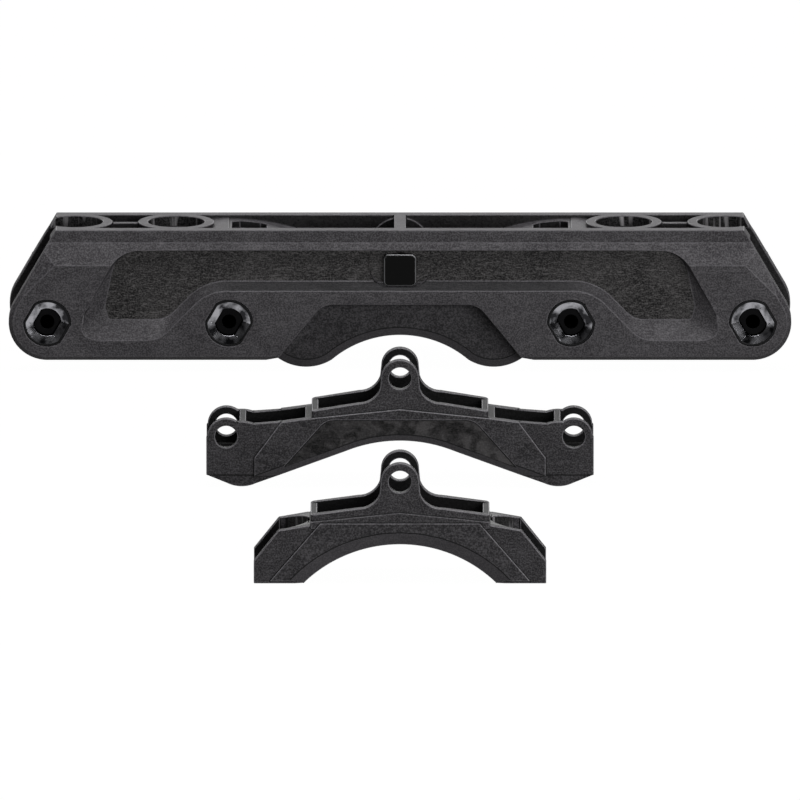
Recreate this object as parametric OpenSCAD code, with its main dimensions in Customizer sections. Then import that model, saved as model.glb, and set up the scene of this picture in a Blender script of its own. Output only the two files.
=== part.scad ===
// Inline skate frame with a grind block fitted in its middle, and two spare blocks standing in front of it.
// Millimetres. X runs along the frame, Y across it with the shown side at -Y, and Z up.
// The origin is the centre of the deck's top face, midway between the two boot bolts.

/* [Frame] */
// distance between the two outer wheel axles
axle_base = 260; // [256:1:268]
// distance between the two inner wheel axles
inner_base = 126; // [122:1:130]
// height of the deck's top above the axle line
axle_drop = 34; // [33:0.5:37]
// radius of the round wall ends, and depth of the walls below the axle line
end_r = 14.2; // [13.6:0.1:16]
// lean of the end edges from the floor
end_angle = 60; // [56:1:66]
// width of the deck
deck_w = 33.2; // [32:0.2:36]
// width over the two side walls
wall_w = 42; // [41:0.5:46]
// gap between the side walls
channel_w = 27; // [26:0.5:28]
// height of the upright band along the deck's edge
band_h = 4.65; // [3.5:0.1:5]
// depth below the deck where the walls reach their full width
flare_drop = 12.4; // [10.5:0.1:13.5]
// bevel along the ends and the bottom edges of the walls
edge_bevel = 1.6; // [0.8:0.1:2.2]
// radius of the wheel wells
well_r = 30; // [29:0.25:30.5]
// thickness of the arch over an inner wheel
arch_t = 3; // [2.4:0.1:3.2]
// radius of the bowed plate that falls from an arch towards the middle
bow_r = 88; // [70:2:110]

/* [Deck] */
// distance between the two boot bolts
bolt_pitch = 165; // [164:0.5:168]
// diameter of the boot bolt holes
bolt_d = 8.4; // [8.2:0.1:9]
// diameter of the round deck pockets
pocket_d = 20.8; // [19:0.1:22]
// depth of the pocket over a boot bolt
pocket_deep = 4.2; // [3.5:0.1:4.4]
// width of the raised ring around a pocket
ring_t = 3.6; // [3:0.1:4]
// distance between the two pockets at the deck's ends
end_pitch = 240; // [237:1:243]
// thickness of the floor that the boot bolts clamp
bolt_floor = 4; // [3.5:0.1:4.5]
// diameter of the seat for the head of a boot bolt
bolt_seat_d = 16; // [14:0.5:17]
// width of the rails along the deck
rail_w = 4.8; // [4:0.1:5.5]
// depth of the rails
rail_h = 5; // [4:0.1:5.5]
// width of the cross rib in the middle of the deck
mid_rib_w = 4.4; // [3:0.1:6]
// thickness of the cross rib
mid_rib_h = 3.6; // [2.5:0.1:4]
// width of the thin ribs between the pockets
thin_rib_w = 2.2; // [1.4:0.1:2.8]

/* [Side recess] */
// depth of the recess from the face of the wall
recess_deep = 4.6; // [3.6:0.1:5]
// top edge of the recess below the deck
recess_top = 7.35; // [6.8:0.05:8]
// lower edge of the middle floor below the deck
recess_mid = 19.1; // [18:0.1:20]
// height of the slope under the middle floor
recess_slope = 2.9; // [2.2:0.1:3.4]
// lower edge of the end floors below the deck
recess_low = 33.6; // [32:0.1:34.5]
// height of the slope under the end floors
lobe_slope = 7; // [5.5:0.1:7.4]
// clear wall between an outer axle and the recess
lobe_gap = 12.7; // [11.5:0.1:14]

/* [Axles] */
// diameter of the axle sleeves
axle_d = 8; // [7:0.1:8.4]
// diameter of the axle screws and of the pin screw
screw_d = 5; // [4:0.1:5.4]
// outer diameter of a bush
bush_d = 17.4; // [16.8:0.1:18]
// distance between the flats of a bush
bush_flats = 15.6; // [15:0.1:16.2]
// depth of a bush in the wall
bush_deep = 6; // [5.6:0.1:6.2]
// depth of the conical mouth of a bush
mouth_deep = 1.8; // [1.4:0.1:2]
// width of the flat rim around the mouth
mouth_rim = 0.7; // [0.4:0.1:1]
// diameter of the keyed pocket in a bush
key_d = 10.3; // [9.9:0.1:10.8]
// distance between the flats of the keyed pocket
key_flats = 8.5; // [8.4:0.1:9.2]
// depth of the keyed pocket from the face of the bush
key_deep = 4; // [3.6:0.1:4.4]
// thickness of the keyed head of a sleeve
key_head = 1; // [0.8:0.1:1.4]
// height of the head of an axle screw
screw_head_h = 1.6; // [1.2:0.1:1.8]
// width across the flats of the hex sockets
hex_af = 4; // [3:0.5:5]
// lean of the flats from the floor
bush_lean = 60; // [50:1:70]
// diameter of the axle bosses inside the walls
boss_d = 13; // [11:0.5:15]
// height of the bosses inside the walls
boss_h = 1; // [0.6:0.1:1.2]

/* [Centre pin] */
// height of the deck's top above the centre pin
pin_drop = 12.3; // [12:0.1:13.2]
// diameter of the centre pin
pin_d = 8; // [7:0.1:8.4]
// side of the square badge head
badge_w = 12; // [11:0.1:12.6]
// thickness of the badge head
badge_t = 2.4; // [1.8:0.1:2.8]
// corner radius of the badge head
badge_r = 1.8; // [1:0.1:2.4]
// badge centre below the pin's axis, which keeps the pin from turning
badge_shift = 2.2; // [1.8:0.1:2.6]
// diameter of the round boss around the pin
pin_boss_d = 23; // [20:0.5:23]
// height of that boss in the side recess
pin_boss_h = 0.6; // [0.4:0.1:1.2]

/* [Blocks] */
// play between a block and each wall
block_play = 0.5; // [0.35:0.05:0.8]
// play between the lugs of a block and each boss in the walls
lug_play = 0.25; // [0.15:0.05:0.4]
// thickness of a lug
lug_t = 3; // [2.6:0.1:4]
// radius of a lug
lug_r = 6.8; // [6.4:0.1:7.4]
// height of the bevel along the grinding edges
grind_bevel = 3.2; // [2.4:0.1:3.6]
// depth of that bevel into the cheeks
grind_in = 1.6; // [1.2:0.1:2]
// half width of the notch at the bottom of the walls
notch_low = 45.6; // [45:0.1:48]
// half width of the notch at its top
notch_high = 28.6; // [27:0.1:30]
// depth of the notch's top edge below the deck
notch_drop = 27.2; // [26.6:0.1:28.2]
// radius of the notch's top corners
notch_r = 8; // [5:0.5:10]
// distance from the frame to the long spare block
long_away = 211; // [120:1:320]
// distance from the long to the short spare block
short_away = 162.4; // [80:1:240]

/* [Hidden] */
$fn = 96;
// radial running clearance, and the slack of parts that only seat
fit = 0.05;
slack = 0.15;
// overlap of cuts past the faces that they open
over = 1;
far_end = 400;
// difference in depth between curved and straight cuts, so that their surfaces cross
hair = 0.04;

axle_z = -axle_drop;
bottom_z = axle_z - end_r;
half_base = axle_base / 2;
half_inner = inner_base / 2;
touch_x = half_base + end_r * sin(end_angle);
touch_z = axle_z + end_r * cos(end_angle);
deck_half = touch_x + touch_z / tan(end_angle);
wall_y = wall_w / 2;
channel_y = channel_w / 2;
window_y = deck_w / 2 - rail_w;
arch_r = well_r + arch_t;
well_roof = axle_z + 14;
ring_r = pocket_d / 2 + ring_t;
bolt_x = bolt_pitch / 2;
end_x = end_pitch / 2;
recess_y = wall_y - recess_deep;
pin_z = -pin_drop;
seat_y = recess_y + pin_boss_h;
bore_d = axle_d + 2 * fit;
pin_bore_d = pin_d + 2 * fit;
lug_y = channel_y - boss_h - lug_play;
block_y = channel_y - block_play;
axle_x = [-half_base, -half_inner, half_inner, half_base];

// bowed plates: height of their upper end and distance of their lower end from the middle
bow_z = -1.4;
bow_end = 33;
// lower edge of the boss on the rails, just above the block's lugs
cap_z = pin_z + lug_r + lug_play;
// floor of a bush between its keyed pocket and the seat of the sleeve's end
shelf_t = 1;

// bend between the middle and the ends of the recess's lower edge: radius, turn and centre
bend_r = 17;
bend_turn = 46;
bend_x = half_inner + 0.6;
bend_z = -recess_mid - recess_slope - bend_r;

// lift and length of the wall's bottom edge where it runs up to the notch
mouth_h = 1;
mouth_run = 4.6;

// steepness of the grinding bevels, and the widening of a lug towards its foot
grind_k = grind_bevel / grind_in;
lug_flare = 1;

// fitted block: height of its arch, radius of the arch and half distance between its feet
arch_top = axle_z - 6.5;
block_arch_r = 38.7;
foot_x = 34.6;
foot_fall = 12;
tip_x = 45.5;
foot_z = arch_top - foot_fall;
// the foot's radius makes it meet the arch with hardly a corner
foot_r = 0.7 + (pow(foot_x, 2) + pow(block_arch_r - foot_fall, 2) - pow(block_arch_r, 2)) / (2 * foot_fall);
floor_z = foot_z;
shoulder_x = 31;

// channel of a block: half length, thickness of its end walls and radius of their corners
channel_x = 32;
end_t = 2.4;
corner_r = 1.6;

// short block: heights as if it were fitted
short_arch_r = 49;
short_arch_z = axle_z - 1.3 - short_arch_r;
short_low = bottom_z - 1.2;
short_top = notch_drop + 1.1;
short_half = 52.3;
short_side_z = axle_z - 7.3;
short_side_x = short_half - 8.9;
short_plate = 0.8;
short_raised_x = 46.6;
raised_top_x = 28.5;
raised_top = -short_top + 1;
raised_low = short_low + 0.9;
short_bevel = 4.6;

// long block: heights as if it were fitted
long_low = axle_z - 18.8;
long_half = half_inner + 7.2;
long_tip_x = half_inner - 10.2;
long_tip_z = long_low + 1.2;
long_tilt = 20.2;
long_arch_r = 52;
long_turn_x = long_arch_r * sin(long_tilt);
long_turn_z = long_tip_z + (long_tip_x - long_turn_x) * tan(long_tilt);
long_arch_z = long_turn_z - long_arch_r * cos(long_tilt);
long_plate = 1.2;
keel_in = 2;
end_wall_x = half_inner - 7.2;
side_x = half_inner - 19.9;
side_z = axle_z - 7.6;
inset_deep = 0.35;
inset_low_x = 44.4;
inset_top_x = 26.8;
inset_r = 7;
// heights of the pocket rims, of the recessed cheek panels and of the shallow roof line over them
rim_low = -notch_drop - 2.3;
rim_high = -notch_drop - 0.3;
panel_top = -notch_drop - 0.4;
roof_side = -notch_drop + 0.3;
roof_mid = -notch_drop + 3.6;
// keel under the end plates: its corner lies on the grinding edge, and is rounded
keel_x = half_inner - 5.4;
keel_z = long_tip_z - (keel_x - long_tip_x) * tan(long_tilt);
keel_r = 12;

// A side outline, drawn in X and Z, extruded across the frame.
module across(w) {
    rotate([90, 0, 0]) linear_extrude(w, center = true) children();
}

// A side outline extruded from one place across the frame to another.
module across_from(y0, y1) {
    translate([0, y1, 0]) rotate([90, 0, 0]) linear_extrude(y1 - y0) children();
}

// A cross section, drawn in Y and Z, extruded along the frame.
module along(l) {
    rotate([90, 0, 90]) linear_extrude(l, center = true) children();
}

// A plan, drawn in X and Y, cut or raised between two heights.
module plan(z0, z1) {
    translate([0, 0, z0]) linear_extrude(z1 - z0) children();
}

module both_ends() {
    children();
    mirror([1, 0, 0]) children();
}

module both_sides() {
    children();
    mirror([0, 1, 0]) children();
}

// A cylinder across the frame.
module bar(d, y0, y1, x, z) {
    translate([x, y1, z]) rotate([90, 0, 0]) cylinder(d = d, h = y1 - y0);
}

module double_d(d, flats) {
    intersection() {
        circle(d = d);
        square([2 * d, flats], center = true);
    }
}

module rounded_square(w, r) {
    square([w - 2 * r, w], center = true);
    square([w, w - 2 * r], center = true);
    for (sx = [-1, 1])
        for (sy = [-1, 1])
            translate([sx * (w / 2 - r), sy * (w / 2 - r)]) circle(r = r);
}

function lean_at(x) = x < 0 ? bush_lean : 180 - bush_lean;

/* frame body */

module side_outline() {
    polygon([
        [-deck_half, 0], [deck_half, 0],
        [touch_x, touch_z], [half_base, axle_z], [half_base, bottom_z],
        [-half_base, bottom_z], [-half_base, axle_z], [-touch_x, touch_z]
    ]);
    both_ends_2d() translate([half_base, axle_z]) circle(r = end_r);
}

module both_ends_2d() {
    children();
    mirror([1, 0]) children();
}

module wall_section() {
    polygon([
        [-deck_w / 2, 0], [deck_w / 2, 0],
        [deck_w / 2, -band_h], [wall_y, -flare_drop], [wall_y, bottom_z - over],
        [-wall_y, bottom_z - over], [-wall_y, -flare_drop], [-deck_w / 2, -band_h]
    ]);
}

// Corner that a bevel takes off, with the edge at the outline's distance n and the wall's face.
module bevel_corner(n) {
    polygon([
        [n - edge_bevel - over, wall_y + over],
        [n + over, wall_y + over],
        [n + over, wall_y - edge_bevel - over]
    ]);
}

// The straight cuts run past the round ones, which stay a hair shallower so that the surfaces cross.
// The flare turns the corner and runs out down the slanting end of each wall.
module end_flares() {
    reach = 3 * end_r;
    turn = 15;
    tilt = 24;
    both_sides() both_ends() translate([touch_x - 1.2, wall_y, touch_z + 0.6])
        rotate([0, end_angle - turn - 90, 0])
            rotate([0, 0, -tilt])
                translate([-over, 0, -reach]) cube([reach, reach, 2 * reach]);
}

module edge_bevels() {
    run_on = 2;
    turn_on = 3;
    slope_l = -touch_z / sin(end_angle);
    both_sides() {
        both_ends() {
            translate([touch_x, 0, touch_z])
                rotate([0, end_angle - 90, 0])
                    translate([0, 0, -run_on])
                        linear_extrude(slope_l + 2 * run_on) bevel_corner(0);
            translate([half_base, 0, axle_z])
                rotate([-90, 0, 0])
                    rotate([0, 0, end_angle - 90 - turn_on])
                        rotate_extrude(angle = 180 - end_angle + 2 * turn_on) bevel_corner(end_r + hair);
        }
        translate([0, 0, bottom_z])
            rotate([0, 90, 0])
                linear_extrude(axle_base + 2 * run_on, center = true) bevel_corner(0);
    }
}

module well_outline() {
    for (x = axle_x)
        translate([x, axle_z]) circle(r = well_r);
    translate([-far_end / 2, bottom_z - over]) square([far_end, well_roof - bottom_z + over]);
}

// A curved plate seen from the side, with its top at x and z.
module bowed_outline(r, t, x, z, x0, x1) {
    intersection() {
        difference() {
            translate([x, z - r]) circle(r = r);
            translate([x, z - r]) circle(r = r - t);
        }
        translate([x0, -far_end / 2]) square([x1 - x0, far_end / 2]);
    }
}

// Solid arches over the outer halves of the two inner wheels, with bowed plates towards the middle.
module arch_outline() {
    both_ends_2d() {
        intersection() {
            translate([half_inner, axle_z]) circle(r = arch_r);
            translate([half_inner, axle_z - over]) square([arch_r, arch_r + 2 * over]);
        }
        bowed_outline(bow_r, arch_t, half_inner, bow_z, bow_end, half_inner + over);
    }
}

// The open middle of the frame, between the arches over the two inner wheels.
module middle_opening() {
    difference() {
        union() {
            across(channel_w) translate([-half_inner, well_roof - over])
                square([inner_base, -rail_h - well_roof + over]);
            difference() {
                plan(-rail_h - over, over) both_ends_2d()
                    translate([mid_rib_w / 2, -window_y]) square([bolt_x - mid_rib_w / 2, 2 * window_y]);
                both_ends() plan(-rail_h - 2 * over, 2 * over) translate([bolt_x, 0]) circle(r = ring_r);
            }
            plan(-rail_h - over, -mid_rib_h) square([2 * mid_rib_w, 2 * window_y], center = true);
        }
        across(channel_w + over) arch_outline();
    }
}

// Relief pockets between the two rings at each end, with a thin rib left in the middle.
module end_pockets() {
    pocket_floor = well_roof + 8;
    rib_sink = 0.4;
    both_ends() difference() {
        plan(pocket_floor, over) translate([bolt_x, -window_y]) square([end_x - bolt_x, 2 * window_y]);
        plan(pocket_floor - over, 2 * over) translate([bolt_x, 0]) circle(r = ring_r);
        plan(pocket_floor - over, 2 * over) translate([end_x, 0]) circle(r = ring_r);
        plan(pocket_floor - over, -rib_sink)
            translate([bolt_x, -thin_rib_w / 2]) square([end_x - bolt_x, thin_rib_w]);
        bar(2 * arch_r, -far_end, far_end, half_base, axle_z);
    }
}

module bolt_places() {
    both_ends() translate([bolt_x, 0, 0]) {
        plan(-pocket_deep, over) circle(d = pocket_d);
        plan(well_roof - over, over) circle(d = bolt_d);
        plan(well_roof - over, -pocket_deep - bolt_floor) circle(d = bolt_seat_d);
    }
    both_ends() translate([end_x, 0, 0]) plan(axle_z, over) circle(d = pocket_d);
}

// Lens-shaped slots through the plates beside the rings.
module arch_slots() {
    slot_y = window_y - 3.2;
    slot_l = 13.4;
    both_ends() plan(axle_z + well_r / 2, over) translate([half_inner - 1 - slot_l / 2, 0]) intersection() {
        square([slot_l, 2 * slot_y], center = true);
        circle(r = slot_y + 0.8);
    }
}

module notch_outline() {
    drop = -notch_drop - bottom_z;
    run = (notch_low - notch_high) / drop;
    turn = atan2(drop, notch_low - notch_high);
    t = notch_r * tan(turn / 2);
    corner_x = notch_high - t;
    mouth_x = notch_low - mouth_h * run;
    low_x = mouth_x + mouth_run * (mouth_h + over) / mouth_h;
    polygon([
        [-mouth_x, bottom_z + mouth_h], [-low_x, bottom_z - over],
        [low_x, bottom_z - over], [mouth_x, bottom_z + mouth_h],
        [notch_high + t * cos(turn), -notch_drop - t * sin(turn)],
        [corner_x, -notch_drop - notch_r], [corner_x, -notch_drop],
        [-corner_x, -notch_drop], [-corner_x, -notch_drop - notch_r],
        [-notch_high - t * cos(turn), -notch_drop - t * sin(turn)]
    ]);
    both_ends_2d() translate([corner_x, -notch_drop - notch_r]) circle(r = notch_r);
}

// Centre of a circle at height z, at distance d from the bend's centre square to the slanting edge.
function beside_bend(d, z) = [bend_x + (d - (z - bend_z) * cos(bend_turn)) / sin(bend_turn), z];

// One end of the side recess: a flat floor with sloping walls up to the face.
module recess_lobe() {
    edge_x = half_base - lobe_gap;
    floor_r = 1.5;
    rim_r = 4;
    corner_r = 10;
    floor_turn = 9.4;
    rim_turn = 11;
    floor_low = -recess_low;
    rim_low = -recess_low - lobe_slope;
    rim_bend = bend_r;
    floor_bend = bend_r + recess_slope;
    start_z = -recess_mid + 5;
    hull() {
        bar_thin(corner_r, recess_y, [edge_x - 21, -recess_top - corner_r]);
        bar_thin(floor_turn, recess_y, beside_bend(floor_bend + floor_turn, floor_low + floor_turn));
        bar_thin(floor_r, recess_y, beside_bend(floor_bend + floor_r, start_z));
        for (p = [
            [edge_x - 10, floor_low + 5], [edge_x - 11, floor_low + floor_r],
            [half_inner + 5, -recess_top - floor_r]
        ])
            bar_thin(floor_r, recess_y, p);
        bar_thin(corner_r, wall_y + 0.02, [edge_x - 19.4, -recess_top - corner_r - 0.4]);
        bar_thin(rim_turn, wall_y + 0.02, beside_bend(rim_bend + rim_turn, rim_low + rim_turn));
        bar_thin(rim_r, wall_y + 0.02, beside_bend(rim_bend + rim_r, start_z));
        for (p = [
            [edge_x - rim_r - 0.6, floor_low + 1.6], [edge_x - rim_r, floor_low - 2.4],
            [edge_x - rim_r - 2, rim_low + rim_r], [half_inner + 5, -recess_top - rim_r]
        ])
            bar_thin(rim_r, wall_y + 0.02, p);
    }
}

// The recess's lower edge bends down into the lobe around a cone, a hair wider than its straight parts.
module recess_bend() {
    reach = 1.6 * bend_r;
    h = recess_deep + over;
    k = recess_slope / recess_deep;
    translate([bend_x, 0, bend_z]) difference() {
        across_from(recess_y, wall_y + over) polygon([
            [0, 0], [0, reach], [reach * sin(bend_turn), reach * cos(bend_turn)]
        ]);
        translate([0, wall_y + over, 0]) rotate([90, 0, 0])
            cylinder(r1 = bend_r + hair - k * over, r2 = bend_r + hair + k * (h + over), h = h + 2 * over);
    }
}

module bar_thin(r, y, p) {
    thin = 0.01;
    translate([p[0], y + thin, p[1]]) rotate([90, 0, 0]) cylinder(r = r, h = thin, $fn = 32);
}

module side_recess() {
    both_sides() {
        both_ends() recess_lobe();
        both_ends() recess_bend();
        difference() {
            along(inner_base + 14) polygon([
                [recess_y, -recess_top], [recess_y, -recess_mid],
                [wall_y + over, -recess_mid - recess_slope * (1 + over / recess_deep)],
                [wall_y + over, -recess_top]
            ]);
            bar(pin_boss_d, 0, seat_y, 0, pin_z);
        }
    }
}

module badge_seat() {
    both_sides() across_from(seat_y, wall_y + over)
        translate([0, pin_z - badge_shift]) rounded_square(badge_w + 2 * slack, badge_r);
}

module inner_bosses() {
    both_sides() {
        for (x = axle_x)
            bar(boss_d, channel_y - boss_h, channel_y + over, x, axle_z);
        intersection() {
            bar(pin_boss_d, channel_y - boss_h, channel_y + over, 0, pin_z);
            across(wall_w) translate([-pin_boss_d, -notch_drop])
                square([2 * pin_boss_d, notch_drop - rail_h]);
        }
        intersection() {
            bar(pin_boss_d, window_y - boss_h, channel_y + over, 0, pin_z);
            across(wall_w) translate([-pin_boss_d, cap_z]) square([2 * pin_boss_d, -cap_z]);
        }
    }
}

module bush_holes() {
    for (x = axle_x) {
        bar(bore_d, -wall_w, wall_w, x, axle_z);
        both_sides() across_from(wall_y - bush_deep, wall_y + over)
            translate([x, axle_z]) rotate(lean_at(x)) double_d(bush_d + 2 * fit, bush_flats + 2 * fit);
    }
}

module frame_body() {
    color([0.24, 0.24, 0.25]) difference() {
        union() {
            difference() {
                intersection() {
                    across(wall_w) side_outline();
                    along(far_end) wall_section();
                }
                across(channel_w) well_outline();
                middle_opening();
            }
            inner_bosses();
        }
        end_pockets();
        bolt_places();
        arch_slots();
        across(wall_w + over) notch_outline();
        side_recess();
        badge_seat();
        bush_holes();
        bar(pin_bore_d, -wall_w, wall_w, 0, pin_z);
        edge_bevels();
        end_flares();
    }
}

/* axle parts, each drawn at the middle of the frame with the near wall at -Y */

module bush(bore_far) {
    mouth_d = bush_d - 2 * mouth_rim;
    mouth_flats = bush_flats - 2 * mouth_rim;
    difference() {
        across_from(-wall_y, -wall_y + bush_deep) double_d(bush_d, bush_flats);
        intersection() {
            translate([0, -wall_y, 0]) rotate([-90, 0, 0])
                cylinder(d1 = mouth_d, d2 = key_d, h = mouth_deep);
            along(2 * bush_d) polygon([
                [-wall_y, -mouth_flats / 2], [-wall_y, mouth_flats / 2],
                [-wall_y + mouth_deep, key_flats / 2], [-wall_y + mouth_deep, -key_flats / 2]
            ]);
        }
        across_from(-wall_y - over, -wall_y + key_deep) double_d(key_d, key_flats);
        bar(bore_far, -wall_y - over, -wall_y + bush_deep + over, 0, 0);
        bar(bore_d, -wall_y + key_deep + shelf_t, -wall_y + bush_deep + over, 0, 0);
    }
}

module at_axle(i) {
    translate([axle_x[i], 0, axle_z]) rotate([0, -lean_at(axle_x[i]), 0]) children();
}

module near_bush(i) {
    color([0.08, 0.08, 0.09]) at_axle(i) bush(bore_d);
}

module far_bush(i) {
    color([0.08, 0.08, 0.09]) mirror([0, 1, 0]) at_axle(i) bush(screw_d + 2 * slack);
}

// The sleeve's keyed head sits on the floor of the near bush, and its end in the far bush.
module axle_sleeve(i) {
    head_y = -wall_y + key_deep;
    end_y = wall_y - key_deep - shelf_t - slack;
    color([0.3, 0.3, 0.31]) at_axle(i) difference() {
        union() {
            across_from(head_y - key_head, head_y) double_d(key_d - 2 * slack, key_flats - 2 * slack);
            bar(axle_d, head_y - key_head / 2, end_y, 0, 0);
        }
        bar(screw_d + 2 * fit, -wall_y, wall_y, 0, 0);
    }
}

module axle_screw(i) {
    head_y = wall_y - key_deep;
    color([0.32, 0.32, 0.33]) at_axle(i) difference() {
        union() {
            bar(key_flats - 2 * slack, head_y, head_y + screw_head_h, 0, 0);
            bar(screw_d, -2, head_y + screw_head_h / 2, 0, 0);
        }
        across_from(head_y + 0.3, wall_y) circle(d = hex_af / cos(30), $fn = 6);
    }
}

/* centre pin */

module badge_head(y0) {
    translate([0, 0, pin_z - badge_shift]) {
        across_from(y0, y0 + badge_t) rounded_square(badge_w, badge_r);
    }
}

module centre_pin() {
    end_y = seat_y - 1.2;
    color([0.1, 0.1, 0.11]) difference() {
        union() {
            mirror([0, 1, 0]) badge_head(seat_y);
            bar(pin_d, -seat_y - badge_t / 2, end_y, 0, pin_z);
        }
        bar(screw_d + 2 * fit, -seat_y + 2, wall_y, 0, pin_z);
    }
}

module pin_screw() {
    color([0.1, 0.1, 0.11]) union() {
        badge_head(seat_y);
        bar(screw_d, -2, seat_y + badge_t / 2, 0, pin_z);
    }
}

/* blocks, each drawn as if it were fitted in the frame */

// Both lugs and side walls of a block's upper channel, with a fillet between lug and wall.
module lug_outline(wall_z, fillet, wall_x, end_z) {
    foot_half = lug_r + lug_flare;
    translate([0, pin_z]) circle(r = lug_r);
    polygon([
        [-lug_r, pin_z], [lug_r, pin_z], [foot_half, wall_z],
        [foot_half, wall_z - 2], [-foot_half, wall_z - 2], [-foot_half, wall_z]
    ]);
    both_ends_2d() {
        difference() {
            translate([lug_r, wall_z]) square(fillet);
            translate([lug_r + fillet, wall_z + fillet]) circle(r = fillet);
        }
        polygon([
            [0, wall_z], [lug_r + fillet, wall_z], [wall_x, end_z],
            [wall_x, -notch_drop - 4], [0, -notch_drop - 4]
        ]);
    }
}

// The channel is a box in plan with rounded corners, which also rounds the ends of its side walls.
module lugs(wall_z, fillet, wall_x, end_z) {
    low = -notch_drop - 4;
    intersection() {
        difference() {
            union() {
                both_sides() across_from(lug_y - lug_t, lug_y) lug_outline(wall_z, fillet, wall_x, end_z);
                both_ends() across(2 * lug_y) translate([wall_x - end_t, low]) square([end_t, end_z - low]);
            }
            bar(pin_bore_d, -wall_w, wall_w, 0, pin_z);
        }
        plan(low - over, over) {
            square([2 * (wall_x - corner_r), 2 * lug_y + over], center = true);
            square([2 * wall_x + over, 2 * (lug_y - corner_r)], center = true);
            for (sx = [-1, 1])
                for (sy = [-1, 1])
                    translate([sx * (wall_x - corner_r), sy * (lug_y - corner_r)]) circle(r = corner_r);
        }
    }
}

// The open channel between the lugs, closed by the end walls and the floor.
module channel_pocket(end_x, floor_z) {
    across(2 * (lug_y - lug_t)) translate([-end_x, floor_z]) square([2 * end_x, -floor_z]);
}

// Round-ended gap that clears a wheel, between the two cheeks of a block's end, which are thicker by lip.
module wheel_gap(x0, r, lip) {
    both_ends() plan(bottom_z - 2 * end_r, 0) {
        intersection() {
            translate([x0 + r, 0]) circle(r = r);
            translate([x0 - over, -2 * r]) square([r + 2 * over, 4 * r]);
        }
        translate([x0 + r, lip - r]) square([far_end / 2, 2 * r - 2 * lip]);
    }
}

// Bevel along a grinding arch of radius r, with the middle of the arch at height z.
module arch_bevel(r, z, bevel) {
    h = grind_in + over;
    both_sides() translate([0, block_y + over, z]) rotate([90, 0, 0])
        cylinder(r1 = r + h * bevel / grind_in, r2 = r, h = h);
}

module fitted_outline() {
    top = -notch_drop - 1;
    meet = block_arch_r / (block_arch_r + foot_r);
    meet_z = arch_top - block_arch_r + (foot_z + foot_r - arch_top + block_arch_r) * meet;
    difference() {
        union() {
            polygon([
                [-shoulder_x, top], [shoulder_x, top], [tip_x, meet_z + 6],
                [tip_x, meet_z], [-tip_x, meet_z], [-tip_x, meet_z + 6]
            ]);
            intersection() {
                both_ends_2d() translate([foot_x, foot_z + foot_r]) circle(r = foot_r);
                translate([-tip_x, foot_z - over]) square([2 * tip_x, meet_z - foot_z + 2 * over]);
            }
        }
        translate([0, arch_top - block_arch_r]) circle(r = block_arch_r);
    }
}

// The bevel of a foot ends on the line between the middle of the foot's arc and that of the arch.
module foot_bevels() {
    h = grind_in + over;
    reach = 2 * foot_r;
    way = atan2(foot_z + foot_r - arch_top + block_arch_r, foot_x);
    both_sides() both_ends() translate([foot_x, block_y, foot_z + foot_r]) {
        difference() {
            across_from(-grind_in, over) polygon([
                [0, 0], [-reach * cos(way), -reach * sin(way)], [reach, -reach * sin(way)], [reach, 0]
            ]);
            translate([0, over, 0]) rotate([90, 0, 0])
                cylinder(r1 = foot_r - grind_k * h, r2 = foot_r, h = h);
        }
    }
}

module centre_block() {
    color([0.2, 0.2, 0.21]) difference() {
        union() {
            across(2 * block_y) fitted_outline();
            lugs(-22.1, 8, shoulder_x, -25);
        }
        channel_pocket(shoulder_x - end_t, arch_top + 4);
        wheel_gap(34, 8.2, 0.2);
        arch_bevel(block_arch_r, arch_top - block_arch_r, grind_bevel);
        foot_bevels();
    }
}

module short_outline() {
    top_x = channel_x + 1.1;
    shoulder_z = -short_top - 1.8;
    difference() {
        polygon([
            [-short_half, short_low], [short_half, short_low],
            [short_half, short_side_z], [short_side_x, shoulder_z], [top_x, -short_top],
            [-top_x, -short_top], [-short_side_x, shoulder_z], [-short_half, short_side_z]
        ]);
        translate([0, short_arch_z]) circle(r = short_arch_r);
    }
}

// Shallow roof line on a block's cheeks, under the channel.
module roof_outline(low, sink) {
    polygon([
        [-channel_x, low], [channel_x, low],
        [channel_x, roof_side - sink], [0, roof_mid - sink], [-channel_x, roof_side - sink]
    ]);
}

module short_block() {
    color([0.2, 0.2, 0.21]) translate([0, -long_away - short_away, floor_z - short_low]) difference() {
        union() {
            across(2 * (block_y - short_plate)) short_outline();
            across(2 * block_y - short_plate) roof_outline(raised_top - 2, -0.1);
            across(2 * block_y) difference() {
                polygon([
                    [-short_raised_x, raised_low], [short_raised_x, raised_low],
                    [raised_top_x, raised_top], [-raised_top_x, raised_top]
                ]);
                translate([0, short_arch_z]) circle(r = short_arch_r);
            }
            lugs(-22.1, 8, channel_x, -24.4);
        }
        channel_pocket(channel_x - end_t, axle_z + 1.6);
        wheel_gap(channel_x + 0.4, 9.6, 0.6);
        arch_bevel(short_arch_r, short_arch_z, short_bevel);
    }
}

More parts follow.
